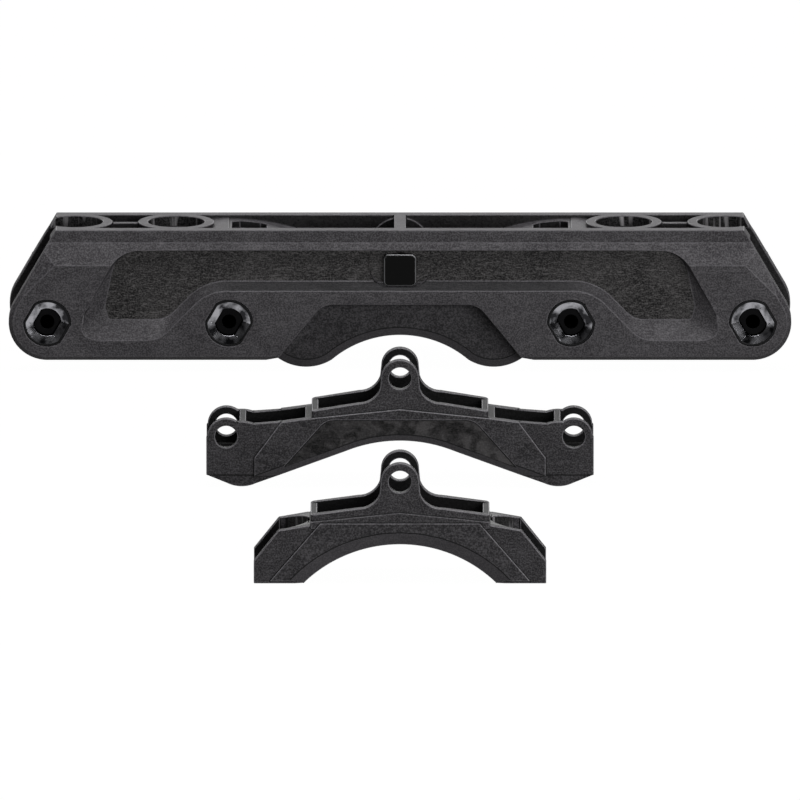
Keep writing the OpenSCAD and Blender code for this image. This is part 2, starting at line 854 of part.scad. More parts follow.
// Straight grinding edges of the long block, which rise to a shallow arch in the middle.
module long_outline() {
    lean = atan2(bottom_z - keel_z, long_half - keel_x);
    t = keel_r * tan((lean + long_tilt) / 2);
    turn_x = keel_x - t * cos(long_tilt);
    turn_z = keel_z + t * sin(long_tilt);
    keel_mid = [turn_x + keel_r * sin(long_tilt), turn_z + keel_r * cos(long_tilt)];
    out_x = keel_x + t * cos(lean);
    out_z = keel_z + t * sin(lean);
    pocket_x = half_inner - 6.5;
    difference() {
        union() {
            polygon([
                [-long_turn_x, long_turn_z], [long_turn_x, long_turn_z],
                [turn_x, turn_z], keel_mid, [out_x, out_z],
                [long_half, bottom_z], [long_half, axle_z], [pocket_x, rim_low], [channel_x, rim_high],
                [-channel_x, rim_high], [-pocket_x, rim_low], [-long_half, axle_z],
                [-long_half, bottom_z], [-out_x, out_z], [-keel_mid[0], keel_mid[1]], [-turn_x, turn_z]
            ]);
            both_ends_2d() translate(keel_mid) circle(r = keel_r + hair);
        }
        translate([0, long_arch_z]) circle(r = long_arch_r + hair);
    }
    both_ends_2d() {
        translate([half_inner, axle_z]) circle(r = lug_r);
        lug_fillet();
    }
}

// Fillet between an end lug and the rim of the pocket beside it.
module lug_fillet() {
    r = 5;
    rise = rim_low + r - axle_z;
    run = sqrt(pow(lug_r + r, 2) - pow(rise, 2));
    difference() {
        polygon([
            [half_inner - run, rim_low - over], [half_inner - run, rim_low + r], [half_inner, axle_z]
        ]);
        translate([half_inner - run, rim_low + r]) circle(r = r + hair);
    }
}

// The cheeks between the end plates, up to the roof line.
module long_panel() {
    low = bottom_z - 0.4;
    step = 1.1;
    polygon([
        [-long_tip_x, low], [-long_tip_x, side_z], [-side_x, rim_low + step],
        [-channel_x, roof_side], [0, roof_mid], [channel_x, roof_side],
        [side_x, rim_low + step], [long_tip_x, side_z], [long_tip_x, low]
    ]);
}

// The worn hollow in the cheeks, with round upper corners.
module long_inset() {
    low = bottom_z + 0.6;
    far_low = 2 * bottom_z;
    lean = atan2(panel_top - low, inset_low_x - inset_top_x);
    t = inset_r * tan(lean / 2);
    corner_x = inset_top_x - t;
    polygon([
        [-inset_low_x, far_low], [-inset_low_x, low],
        [-inset_top_x - t * cos(lean), panel_top - t * sin(lean)], [-corner_x, panel_top - inset_r],
        [-corner_x, panel_top], [corner_x, panel_top],
        [corner_x, panel_top - inset_r], [inset_top_x + t * cos(lean), panel_top - t * sin(lean)],
        [inset_low_x, low], [inset_low_x, far_low]
    ]);
    both_ends_2d() translate([corner_x, panel_top - inset_r]) circle(r = inset_r + hair);
}

// The bevels of the straight edges stay a hair shallower than the one of the arch between them.
module long_bevels() {
    arch_bevel(long_arch_r + hair, long_arch_z, grind_bevel);
    both_sides() both_ends() translate([long_turn_x, block_y, long_turn_z]) rotate([0, long_tilt, 0])
        rotate([90, 0, 90]) linear_extrude(far_end / 4) polygon([
            [over, grind_bevel + grind_k * over - hair], [over, -over],
            [-grind_in - over / grind_k, -over - hair]
        ]);
}

module long_block() {
    pocket_y = lug_y - lug_t;
    pocket_x0 = channel_x + end_t;
    pocket_z = axle_z - 3;
    gap_x = end_wall_x + end_t;
    color([0.2, 0.2, 0.21]) translate([0, -long_away, floor_z - long_low]) difference() {
        union() {
            intersection() {
                across(2 * (block_y - long_plate)) long_outline();
                translate([-far_end / 2, -wall_w, bottom_z]) cube([far_end, 2 * wall_w, far_end]);
            }
            across(2 * (block_y - keel_in)) long_outline();
            across(2 * block_y) intersection() {
                union() {
                    long_outline();
                    long_top();
                }
                long_panel();
            }
            lugs(-21.6, 8, channel_x, -24.4);
        }
        both_sides() across_from(block_y - inset_deep, block_y + over) intersection() {
            long_outline();
            long_inset();
        }
        channel_pocket(channel_x - end_t, axle_z + 2.4);
        both_ends() across(2 * pocket_y) translate([pocket_x0, pocket_z])
            square([end_wall_x - pocket_x0, far_end / 4]);
        both_ends() across(2 * pocket_y) translate([gap_x, axle_z - lug_r])
            square([far_end / 4, far_end / 4]);
        both_ends() bar(bore_d, -wall_w, wall_w, half_inner, axle_z);
        long_bevels();
    }
}

// Room above the long block's body for the cheeks, which end at their own outline.
module long_top() {
    translate([-long_tip_x, rim_low - over]) square([2 * long_tip_x, -rim_low]);
}

frame_body();
centre_block();
near_bush(0);  // near_bush_1
near_bush(1);  // near_bush_2
near_bush(2);  // near_bush_3
near_bush(3);  // near_bush_4
far_bush(0);  // far_bush_1
far_bush(1);  // far_bush_2
far_bush(2);  // far_bush_3
far_bush(3);  // far_bush_4
axle_sleeve(0);  // axle_sleeve_1
axle_sleeve(1);  // axle_sleeve_2
axle_sleeve(2);  // axle_sleeve_3
axle_sleeve(3);  // axle_sleeve_4
axle_screw(0);  // axle_screw_1
axle_screw(1);  // axle_screw_2
axle_screw(2);  // axle_screw_3
axle_screw(3);  // axle_screw_4
centre_pin();
pin_screw();
long_block();
short_block();
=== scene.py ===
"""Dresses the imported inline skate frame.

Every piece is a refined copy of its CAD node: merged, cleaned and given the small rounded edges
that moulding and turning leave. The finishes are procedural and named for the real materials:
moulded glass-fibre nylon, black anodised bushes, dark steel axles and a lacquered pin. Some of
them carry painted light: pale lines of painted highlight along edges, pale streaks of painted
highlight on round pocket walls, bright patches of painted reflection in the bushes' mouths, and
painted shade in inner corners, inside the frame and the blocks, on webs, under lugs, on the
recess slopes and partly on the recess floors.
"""

import logging
import math
from collections.abc import Callable
from dataclasses import dataclass, field, replace
from enum import Enum, IntEnum
from functools import partial
from typing import Any

import bmesh
import bpy
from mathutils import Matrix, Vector
from mathutils.bvhtree import BVHTree


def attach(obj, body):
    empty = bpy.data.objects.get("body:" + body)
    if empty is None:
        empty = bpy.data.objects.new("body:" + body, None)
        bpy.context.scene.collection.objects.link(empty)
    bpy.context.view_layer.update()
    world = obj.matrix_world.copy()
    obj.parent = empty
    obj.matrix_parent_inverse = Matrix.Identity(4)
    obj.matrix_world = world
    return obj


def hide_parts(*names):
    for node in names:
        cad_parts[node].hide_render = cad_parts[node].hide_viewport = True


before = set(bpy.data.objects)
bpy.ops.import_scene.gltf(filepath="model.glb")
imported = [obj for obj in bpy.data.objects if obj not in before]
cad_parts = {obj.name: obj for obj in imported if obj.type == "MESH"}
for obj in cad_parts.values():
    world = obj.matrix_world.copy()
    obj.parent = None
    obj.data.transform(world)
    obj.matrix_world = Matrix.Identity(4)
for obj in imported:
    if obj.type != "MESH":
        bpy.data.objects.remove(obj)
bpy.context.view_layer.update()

MM = 0.001
WHITE = (1.0, 1.0, 1.0, 1.0)
HALF_TURN_DEG = 180.0

# Shares of a face's normal along one axis: past SQUARE the face lies square to that axis, past TOP
# it looks up or down, and below UPRIGHT it is an upright wall.
SQUARE = 0.99
TOP = 0.5
UPRIGHT = 0.3

# Distance within which a face counts as lying at a given level.
LEVEL = 0.05 * MM

Colour = tuple[float, float, float, float]
FaceTest = Callable[[Vector, Vector], bool]
Socket = bpy.types.NodeSocket

log = logging.getLogger("skate_frame")


class Skin(IntEnum):
    """Places of a moulded piece's finishes in its list of materials."""

    FACE = 0
    # Pale lines of painted highlight along the edges.
    EDGE_HIGHLIGHT = 1
    # Dark lines of painted shade in the inner corners.
    CORNER_SHADE = 2
    # Near black painted shade on the faces inside the piece.
    INSIDE_SHADE = 3
    # Sunk faces: on the frame partly painted shade, on the blocks wear.
    INLAY = 4
    # Slanting faces: on the frame painted shade.
    SLOPE = 5
    # Dark round walls with pale streaks of painted highlight.
    STREAK_HIGHLIGHT = 6


class Turned(IntEnum):
    """Places of a metal piece's finishes in its list of materials."""

    BODY = 0
    BRIGHT = 1


class Slot(Enum):
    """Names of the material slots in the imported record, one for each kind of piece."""

    FRAME = "frame_nylon"
    BLOCK = "block_nylon"
    BUSH = "bush_alloy"
    AXLE = "axle_steel"
    PIN = "pin_lacquer"


def to_linear(hex_colour: str) -> Colour:
    """Turns an sRGB hex colour into linear RGBA.

    Args:
        hex_colour: Colour such as "#3e3c3f".

    Returns:
        Linear red, green, blue and an alpha of 1.
    """
    channels = [int(hex_colour[i:i + 2], 16) / 255 for i in (1, 3, 5)]
    linear = [c / 12.92 if c <= 0.04045 else ((c + 0.055) / 1.055) ** 2.4 for c in channels]
    return (*linear, 1.0)


def add_node(tree: bpy.types.NodeTree, kind: str, settings: dict[str | int, Any] | None = None,
             links: dict[str | int, Socket] | None = None) -> bpy.types.Node:
    """Adds a shader node with its settings and its incoming links.

    Args:
        tree: Node tree that takes the node.
        kind: Type name of the node.
        settings: Values by name, for the node's own properties or else for its input sockets. A
            number names a socket by its place.
        links: Sockets of other nodes, by the name or place of the input that they feed.

    Returns:
        The new node.
    """
    node = tree.nodes.new(kind)
    for name, value in (settings or {}).items():
        if isinstance(name, str) and hasattr(node, name):
            setattr(node, name, value)
        else:
            node.inputs[name].default_value = value
    for name, socket in (links or {}).items():
        tree.links.new(socket, node.inputs[name])
    return node


def empty_material(name: str) -> tuple[bpy.types.Material, bpy.types.NodeTree]:
    """Makes a material with no nodes in it.

    Args:
        name: Name of the material.

    Returns:
        The material and its node tree.
    """
    material = bpy.data.materials.new(name)
    material.use_nodes = True
    material.node_tree.nodes.clear()
    return material, material.node_tree


@dataclass(frozen=True)
class Marks:
    """Irregular marks of one size, which bring a second colour to a surface.

    Attributes:
        size_mm: Size of the marks.
        share: How much of the second colour they bring.
        span: Values of the pattern that become nothing and the whole share.
        detail: Number of finer layers in the pattern.
        swirl: Distortion of the marks.
        stretch: Their length over their width, along each axis.
    """

    size_mm: float
    share: float = 1.0
    span: tuple[float, float] = (0.0, 1.0)
    detail: float = 2.0
    swirl: float = 0.0
    stretch: tuple[float, float, float] = (1.0, 1.0, 1.0)

    def build(self, tree: bpy.types.NodeTree, place: Socket) -> tuple[Socket, Socket]:
        """Adds the marks to a material.

        Args:
            tree: Node tree of the material.
            place: Coordinates on the piece.

        Returns:
            The bare pattern, about 0.5 on average, and the share of the second colour.
        """
        along = add_node(tree, "ShaderNodeMapping",
                         {"Scale": tuple(1 / length for length in self.stretch)},
                         {"Vector": place}).outputs["Vector"]
        pattern = add_node(tree, "ShaderNodeTexNoise",
                           {"Scale": 1 / (self.size_mm * MM), "Detail": self.detail,
                            "Distortion": self.swirl},
                           {"Vector": along}).outputs["Fac"]
        share = add_node(tree, "ShaderNodeMapRange",
                         {"From Min": self.span[0], "From Max": self.span[1], "To Max": self.share},
                         {"Value": pattern}).outputs["Result"]
        return pattern, share


@dataclass(frozen=True)
class MouldedNylon:
    """Glass-fibre nylon as it leaves a spark-eroded mould.

    The eye gets a dull black skin with a fine pale grain, cloudy flow marks and short fibres that
    lie along the flow and swirl where it slowed down. Real grain and fibres are too fine to show
    in the render, so both are drawn several times coarser.

    Attributes:
        name: Name of the material.
        skin: Colour of the bare resin.
        fibre: Colour where fibres and grain come to the surface.
        grain_share: How much of the fibre colour the grain brings.
        fibre_share: How much of it the streaks bring.
        cloud_share: How much of it the flow marks bring.
        swirl: Distortion of the streaks.
        roughness: Mean roughness of the skin.
        specular: Strength of its reflections.
        grain_mm: Size of the grains.
        grain_depth_mm: Depth of the grain.
        fibre_mm: Width of the streaks.
        stretch: Their length over their width, along each axis.
        cloud_mm: Size of the flow marks.
        ends: Colours of resin and fibre towards the ends of the piece, where these differ.
        fade_mm: Distances from the middle between which the colours of the ends come in.
        grain_span: Values of the grain's pattern from no grain to all of it.
        fibre_span: The same for the streaks.
        cloud_span: The same for the flow marks.
        cloud_detail: Number of finer layers in the flow marks.
        cloud_swirl: Distortion of the flow marks.
        gloss_span: Least and most that the grain adds to the roughness.
        relief: Strength of the grain's bump.
        ior: Refractive index of the skin.
    """

    name: str
    skin: str
    fibre: str
    grain_share: float = 0.6
    fibre_share: float = 0.25
    cloud_share: float = 0.15
    swirl: float = 1.2
    roughness: float = 0.5
    specular: float = 0.25
    grain_mm: float = 0.55
    grain_depth_mm: float = 0.06
    fibre_mm: float = 0.8
    stretch: tuple[float, float, float] = (6.0, 1.0, 1.0)
    cloud_mm: float = 16.0
    ends: tuple[str, str] | None = None
    fade_mm: tuple[float, float] = (60.0, 84.0)
    grain_span: tuple[float, float] = (0.42, 0.62)
    fibre_span: tuple[float, float] = (0.52, 0.64)
    cloud_span: tuple[float, float] = (0.4, 0.62)
    cloud_detail: float = 4.0
    cloud_swirl: float = 0.8
    gloss_span: tuple[float, float] = (-0.1, 0.12)
    relief: float = 0.5
    ior: float = 1.4

    def build(self) -> bpy.types.Material:
        """Builds the node material.

        Returns:
            The finished material.
        """
        material, tree = empty_material(self.name)
        place = add_node(tree, "ShaderNodeTexCoord").outputs["Object"]
        grain, pale = Marks(self.grain_mm, self.grain_share, self.grain_span).build(tree, place)
        streaks = Marks(self.fibre_mm, self.fibre_share, self.fibre_span, swirl=self.swirl,
                        stretch=self.stretch)
        clouds = Marks(self.cloud_mm, self.cloud_share, self.cloud_span, self.cloud_detail,
                       self.cloud_swirl)
        for marks in (streaks, clouds):
            share = marks.build(tree, place)[1]
            pale = add_node(tree, "ShaderNodeMath", {"operation": "ADD", "use_clamp": True},
                            {0: pale, 1: share}).outputs["Value"]
        colour, *far = (
            add_node(tree, "ShaderNodeMix",
                     {"data_type": "RGBA", "A": to_linear(skin), "B": to_linear(fibre)},
                     {"Factor": pale}).outputs["Result"]
            for skin, fibre in filter(None, ((self.skin, self.fibre), self.ends)))
        if far:
            side = add_node(tree, "ShaderNodeSeparateXYZ", links={"Vector": place}).outputs["X"]
            out = add_node(tree, "ShaderNodeMath", {"operation": "ABSOLUTE"},
                           {0: side}).outputs["Value"]
            share = add_node(tree, "ShaderNodeMapRange",
                             {"From Min": self.fade_mm[0] * MM, "From Max": self.fade_mm[1] * MM},
                             {"Value": out}).outputs["Result"]
            colour = add_node(tree, "ShaderNodeMix", {"data_type": "RGBA"},
                              {"Factor": share, "A": colour, "B": far[0]}).outputs["Result"]
        gloss = add_node(tree, "ShaderNodeMapRange",
                         {"To Min": self.roughness + self.gloss_span[0],
                          "To Max": self.roughness + self.gloss_span[1]},
                         {"Value": grain}).outputs["Result"]
        bump = add_node(tree, "ShaderNodeBump",
                        {"Strength": self.relief, "Distance": self.grain_depth_mm * MM},
                        {"Height": grain}).outputs["Normal"]
        shader = add_node(tree, "ShaderNodeBsdfPrincipled",
                          {"IOR": self.ior, "Specular IOR Level": self.specular},
                          {"Base Color": colour, "Roughness": gloss, "Normal": bump})
        add_node(tree, "ShaderNodeOutputMaterial", links={"Surface": shader.outputs["BSDF"]})
        return material


@dataclass(frozen=True)
class DarkMetal:
    """Metal with a dark skin, anodised, oxidised or lacquered, over a turned or polished surface.

    The eye gets deep black with sharp highlights, and a faint haze that breaks them up. Tool marks
    are too fine to show in the render, so they are drawn coarser.

    Attributes:
        name: Name of the material.
        skin: Colour of the dark skin.
        sheen: Colour of the haze on it.
        metallic: Share of metal in its reflections.
        roughness: Mean roughness of the surface.
        haze_mm: Size of the patches of haze.
        haze_range: Values of the haze's pattern from no haze to all of it.
        haze_detail: Number of finer layers in the haze.
        tool_mm: Size of the tool marks.
        tool_depth_mm: Depth of the tool marks.
        tool_detail: Number of finer layers in the tool marks.
        relief: Strength of the tool marks' bump.
        specular: Strength of the reflections on a skin that isn't metal.
        gloss_range: Least and most that the haze multiplies the roughness by.
    """

    name: str
    skin: str
    sheen: str
    metallic: float
    roughness: float
    haze_mm: float = 3.0
    haze_range: tuple[float, float] = (0.0, 1.0)
    haze_detail: float = 4.0
    tool_mm: float = 0.5
    tool_depth_mm: float = 0.004
    tool_detail: float = 2.0
    relief: float = 0.2
    specular: float = 0.5
    gloss_range: tuple[float, float] = (0.7, 1.4)

    def build(self) -> bpy.types.Material:
        """Builds the node material.

        Returns:
            The finished material.
        """
        material, tree = empty_material(self.name)
        place = add_node(tree, "ShaderNodeTexCoord").outputs["Object"]
        patches = Marks(self.haze_mm, span=self.haze_range, detail=self.haze_detail)
        haze, share = patches.build(tree, place)
        colour = add_node(tree, "ShaderNodeMix",
                          {"data_type": "RGBA", "A": to_linear(self.skin), "B": to_linear(self.sheen)},
                          {"Factor": share}).outputs["Result"]
        gloss = add_node(tree, "ShaderNodeMapRange",
                         {"To Min": self.roughness * self.gloss_range[0],
                          "To Max": self.roughness * self.gloss_range[1]},
                         {"Value": haze}).outputs["Result"]
        tooling = add_node(tree, "ShaderNodeTexNoise",
                           {"Scale": 1 / (self.tool_mm * MM), "Detail": self.tool_detail},
                           {"Vector": place}).outputs["Fac"]
        bump = add_node(tree, "ShaderNodeBump",
                        {"Strength": self.relief, "Distance": self.tool_depth_mm * MM},
                        {"Height": tooling}).outputs["Normal"]
        shader = add_node(tree, "ShaderNodeBsdfPrincipled",
                          {"Metallic": self.metallic, "Specular IOR Level": self.specular},
                          {"Base Color": colour, "Roughness": gloss, "Normal": bump})
        add_node(tree, "ShaderNodeOutputMaterial", links={"Surface": shader.outputs["BSDF"]})
        return material


@dataclass
class CadCopy:
    """A refined copy of one CAD node, with small rounded edges.

    Attributes:
        node: Name of the CAD node that the copy stands for.
        body: Body that the piece moves with.
        slot: Record slot of its finish; not used.
        round_mm: Width of the rounded edges.
        soft_mm: Width of the rounding where two faces meet at a blunt angle.
        blunt_deg: Least turn between two faces that counts as an edge.
        sharp_deg: Least turn that counts as a sharp edge.
        segments: Number of strips in each rounded edge.
        stray_mm: Distance from the node's surface past which a rounding threw a corner off it.
        merge_mm: Distance within which corners of the node's triangles are one.
        flat_deg: Greatest turn between two faces that lie in one plane.
        crease_deg: Least turn that is shaded as a crease.
        cut_mm: Distance within which a corner lies on a cut.
        shape: Mesh of the copy while it is being made.
        surface: Surface of the node, to measure from.
    """

    node: str
    body: str
    slot: Slot
    round_mm: float = 0.3
    soft_mm: float = 0.3
    blunt_deg: float = 14.0
    sharp_deg: float = 52.0
    segments: int = 2
    stray_mm: float = 0.16
    merge_mm: float = 0.02
    flat_deg: float = 0.6
    crease_deg: float = 38.0
    cut_mm: float = 0.001
    shape: bmesh.types.BMesh = field(init=False, repr=False)
    surface: BVHTree = field(init=False, repr=False)

    def __post_init__(self) -> None:
        """Merges the node's loose triangles and joins those that lie in one plane."""
        self.shape = bmesh.new()
        self.shape.from_mesh(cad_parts[self.node].data)
        self.surface = BVHTree.FromBMesh(self.shape)
        bmesh.ops.remove_doubles(self.shape, verts=self.shape.verts, dist=self.merge_mm * MM)
        bmesh.ops.dissolve_limit(self.shape, angle_limit=math.radians(self.flat_deg),
                                 verts=self.shape.verts, edges=self.shape.edges, delimit=set())

    def round_edges(self, edge: int = Skin.FACE, corner: int = Skin.FACE,
                    line: int = Skin.FACE) -> None:
        """Softens the blunt lines, then rounds the sharp edges and hollows the corners.

        Args:
            edge: Material of the sharp outer edges.
            corner: Material of the sharp inner corners.
            line: Material of the blunt lines.
        """
        for convex in (True, False):
            self.bevel(convex, (self.blunt_deg, self.sharp_deg), self.soft_mm, line)
        for convex, material in ((True, edge), (False, corner)):
            self.bevel(convex, (self.sharp_deg, HALF_TURN_DEG), self.round_mm, material)

    def bevel(self, convex: bool, turn_deg: tuple[float, float], width_mm: float,
              material: int) -> None:
        """Rounds the edges of one kind.

        Args:
            convex: Whether outer edges are rounded, or else inner corners.
            turn_deg: Least and greatest turn between the two faces.
            width_mm: Width of the rounding on either face.
            material: Material of the new faces.
        """
        edges = [e for e in self.shape.edges if e.is_manifold and e.is_convex == convex
                 and turn_deg[0] < math.degrees(e.calc_face_angle(0.0)) <= turn_deg[1]]
        made = bmesh.ops.bevel(self.shape, geom=edges, offset=width_mm * MM, offset_type="OFFSET",
                               affect="EDGES", segments=self.segments, profile=0.5, material=-1,
                               clamp_overlap=False)
        for face in made["faces"]:
            face.material_index = material
        self.settle()

    def settle(self) -> None:
        """Puts the corners that a rounding threw off the node's surface back onto it."""
        for vert in self.shape.verts:
            place, _, _, gap = self.surface.find_nearest(vert.co)
            if gap > self.stray_mm * MM:
                vert.co = place

    def cut_tops(self, y: float) -> None:
        """Cuts the upward faces along the frame, so that a finish can end there.

        Args:
            y: Place of the cut, across the frame.
        """
        self.shape.normal_update()
        tops = [face for face in self.shape.faces if face.normal.z > TOP]
        parts = dict.fromkeys([*tops, *(e for face in tops for e in face.edges),
                               *(v for face in tops for v in face.verts)])
        bmesh.ops.bisect_plane(self.shape, geom=list(parts), dist=self.cut_mm * MM,
                               plane_co=(0, y, 0), plane_no=(0, 1, 0))

    def paint(self, index: int, chosen: FaceTest, with_edges: bool = False) -> None:
        """Gives some faces another material.

        Args:
            index: Index of their material.
            chosen: Test of a face's middle and normal.
            with_edges: Whether faces with another finish, such as rounded edges, take it too.
        """
        self.shape.normal_update()
        for face in self.shape.faces:
            plain = with_edges or face.material_index == Skin.FACE
            if plain and chosen(face.calc_center_median(), face.normal):
                face.material_index = index

    def finish(self, materials: list[bpy.types.Material]) -> bpy.types.Object:
        """Turns the shape into a piece that stands for its node.

        Args:
            materials: Materials by face index.

        Returns:
            The finished object.
        """
        mesh = bpy.data.meshes.new(f"{self.node}_dressed")
        self.shape.to_mesh(mesh)
        self.shape.free()
        for material in materials:
            mesh.materials.append(material)
        mesh.shade_smooth()
        mesh.set_sharp_from_angle(angle=math.radians(self.crease_deg))
        piece = bpy.data.objects.new(f"{self.node}_dressed", mesh)
        bpy.context.scene.collection.objects.link(piece)
        smooth = piece.modifiers.new("even_normals", "WEIGHTED_NORMAL")
        smooth.keep_sharp = True
        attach(piece, self.body)
        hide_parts(self.node)
        return piece


@dataclass(frozen=True)
class MouldedSet:
    """The finishes of one moulded piece, by the skin that they make.

    Attributes:
        face: Finish of the plain faces.
        edge: Finish of the sharp outer edges, pale lines of painted highlight.
        corner: Finish of the sharp inner corners, dark lines of painted shade.
        inside_shade: Finish of the faces inside the piece, smooth and near black as painted shade.
        inlay: Finish of the sunk faces on the sides, on the frame partly painted shade.
        slope: Finish of the slanting faces beside them, on the frame painted shade.
        drawn: Finish of the round walls, dark with pale streaks of painted highlight.
    """

    face: MouldedNylon
    edge: MouldedNylon
    corner: MouldedNylon
    inside_shade: MouldedNylon
    inlay: MouldedNylon
    slope: MouldedNylon
    drawn: MouldedNylon

    def build(self) -> list[bpy.types.Material]:
        """Builds the finishes, in the order of the skins."""
        return [finish.build() for finish in (self.face, self.edge, self.corner, self.inside_shade, self.inlay,
                                              self.slope, self.drawn)]


FRAME_FINISHES = MouldedSet(
    # Dull charcoal with a fine pale grain, as the mould leaves it.
    face=MouldedNylon("glass_fibre_nylon_moulded", "#363437", "#6c6a6d"),
    # Painted highlight: pale edges, smoother than the faces, which outline each form.
    edge=MouldedNylon("glass_fibre_nylon_painted_edge_highlight", "#504e51", "#757377", roughness=0.38),
    # Painted shade: nearly black lines where two faces meet in a corner and little light comes.
    corner=MouldedNylon("glass_fibre_nylon_painted_corner_shade", "#1c1b1c", "#333234"),
    # Painted shade: smooth, dark and a little shiny inside walls.
    inside_shade=MouldedNylon("glass_fibre_nylon_painted_inside_shade", "#161516", "#2b2a2b", roughness=0.3, specular=0.5),
    # Recess floors, black partly as painted shade, with pale fibres that swirl all over them.
    inlay=MouldedNylon("glass_fibre_nylon_recess", "#0a090a", "#6a6868", grain_share=0.45,
                       fibre_share=0.6, swirl=3.0, roughness=0.58),
    # Painted shade on the slopes below the recesses, fading to the faces' colours towards the ends.
    slope=MouldedNylon("glass_fibre_nylon_slope_painted_shade", "#19181a", "#3e3d3f", grain_share=0.5,
                       fibre_share=0.4, swirl=2.0, ends=("#363437", "#6c6a6d")),
    # Shiny black round walls, with broad pale streaks of painted highlight straight up and down.
    drawn=MouldedNylon("glass_fibre_nylon_painted_streak_highlights", "#0c0c0c", "#9a989a", grain_share=0.1,
                       fibre_share=0.9, cloud_share=0.0, swirl=0.4, roughness=0.35, fibre_mm=3.2,
                       stretch=(1.0, 1.0, 12.0)))

BLOCK_FINISHES = MouldedSet(
    # Darker than the frame, with the same grain and smaller flow marks.
    face=MouldedNylon("glass_fibre_nylon_block", "#242325", "#615f62", cloud_share=0.12, cloud_mm=9.0),
    # Painted highlight: pale smooth lines along the edges.
    edge=MouldedNylon("glass_fibre_nylon_block_painted_edge_highlight", "#646266", "#8c8a8e", roughness=0.36),
    # Painted shade: nearly black corners, webs and undersides.
    corner=MouldedNylon("glass_fibre_nylon_block_painted_shade", "#121212", "#232324"),
    # Painted shade: smooth black inside the channels and holes.
    inside_shade=MouldedNylon("glass_fibre_nylon_block_painted_inside_shade", "#0d0d0d", "#1f1f20", roughness=0.36),
    # Black cheeks with blotches of wear.
    inlay=MouldedNylon("glass_fibre_nylon_worn", "#030303", "#565455", grain_share=0.25,
                       fibre_share=0.25, cloud_share=0.7, swirl=3.0, cloud_mm=6.0),
    # Even grey bevels under the arches.
    slope=MouldedNylon("glass_fibre_nylon_block_bevel", "#454346", "#6a686b", grain_share=0.4,
                       fibre_share=0.1, cloud_share=0.1),
    # The frame's round walls with pale streaks of painted highlight, a little less black.
    drawn=replace(FRAME_FINISHES.drawn, name="glass_fibre_nylon_block_painted_streak_highlights", skin="#141414"))


@dataclass
class Chassis:
    """The moulded frame body with its side recesses and the pockets in its deck.

    Attributes:
        recess_y: Depth of the recesses' floors, from the middle of the frame.
        inner_y: Distance from the middle within which faces are inside the frame.
        boss_y: Face of the flat boss around the pin.
        boss_r: Half the length of that boss.
        deck_z: Height below which faces are inside the deck.
        boss_z: Lowest and highest place of the boss.
        slope_z: Height below which the recesses' slopes lie.
        slope_tilt: Least and most that a slope looks up.
        pocket_x: Places of the round pockets, along the frame.
        pocket_r: Radius within which faces belong to a pocket.
        finishes: Finishes by skin.
    """

    recess_y: float = 16.4 * MM
    inner_y: float = 13.6 * MM
    boss_y: float = 17.0 * MM
    boss_r: float = 12.6 * MM
    deck_z: float = -0.6 * MM
    boss_z: tuple[float, float] = (-19.0 * MM, -7.6 * MM)
    slope_z: float = -16.0 * MM
    slope_tilt: tuple[float, float] = (0.3, 0.95)
    pocket_x: tuple[float, ...] = (82.5 * MM, 120.0 * MM)
    pocket_r: float = 10.6 * MM
    finishes: MouldedSet = FRAME_FINISHES

    def build(self) -> list[bpy.types.Object]:
        """Builds the frame body, with swirled recesses, pale painted highlight on its edges and in
        streaks in its pockets, and painted shade in its corners, on its recess floors and slopes and
        inside.

        Returns:
            The frame body.
        """
        copy = CadCopy("frame_body", "frame", Slot.FRAME, round_mm=0.35, soft_mm=0.25, sharp_deg=66.0)
        # Sharp edges and blunt lines take painted highlight, sharp inner corners painted shade.
        copy.round_edges(Skin.EDGE_HIGHLIGHT, Skin.CORNER_SHADE, Skin.EDGE_HIGHLIGHT)
        # Recess floors and the boss on them take a swirled finish that is partly painted shade.
        copy.paint(Skin.INLAY, self.on_floor)
        copy.paint(Skin.INLAY, self.on_boss, with_edges=True)
        # The slopes below the recesses take painted shade.
        copy.paint(Skin.SLOPE, self.on_slope)
        # The deck pockets' walls take pale streaks of painted highlight.
        copy.paint(Skin.STREAK_HIGHLIGHT, self.on_pocket)
        # The faces inside the frame take painted shade.
        copy.paint(Skin.INSIDE_SHADE, self.takes_inside_shade)
        return [copy.finish(self.finishes.build())]

    def on_floor(self, middle: Vector, normal: Vector) -> bool:
        """Tells the floors of the recesses from other faces."""
        return abs(abs(middle.y) - self.recess_y) < LEVEL and abs(normal.y) > SQUARE

    def on_boss(self, middle: Vector, normal: Vector) -> bool:
        """Tells the flat boss around the pin, on the floor of each recess, from other faces."""
        raised = self.recess_y < abs(middle.y) < self.boss_y + LEVEL
        return raised and abs(middle.x) < self.boss_r and self.boss_z[0] < middle.z < self.boss_z[1]

    def on_slope(self, middle: Vector, normal: Vector) -> bool:
        """Tells the slope along the lower edge of each recess from other faces."""
        slanting = self.slope_tilt[0] < normal.z < self.slope_tilt[1]
        return slanting and abs(middle.y) > self.recess_y and middle.z < self.slope_z

    def on_pocket(self, middle: Vector, normal: Vector) -> bool:
        """Tells the round walls of the pockets in the deck from other faces."""
        near = any(math.hypot(abs(middle.x) - x, middle.y) < self.pocket_r for x in self.pocket_x)
        return near and abs(normal.z) < UPRIGHT and middle.z < self.deck_z

    def takes_inside_shade(self, middle: Vector, normal: Vector) -> bool:
        """Tells the faces inside the frame, apart from those that look up, from other faces."""
        return abs(middle.y) < self.inner_y and middle.z < self.deck_z and normal.z < TOP


@dataclass(frozen=True)
class Block:
    """One grind block.

    Attributes:
        node: Name of its CAD node.
        body: Body that it moves with.
        middle_y: Place of its middle, across the frame.
        holes_mm: Middles of its holes, along the frame and up.
        web_x: Distance from its middle within which webs close its channel.
    """

    node: str
    body: str
    middle_y: float
    holes_mm: tuple[tuple[float, float], ...]
    web_x: float


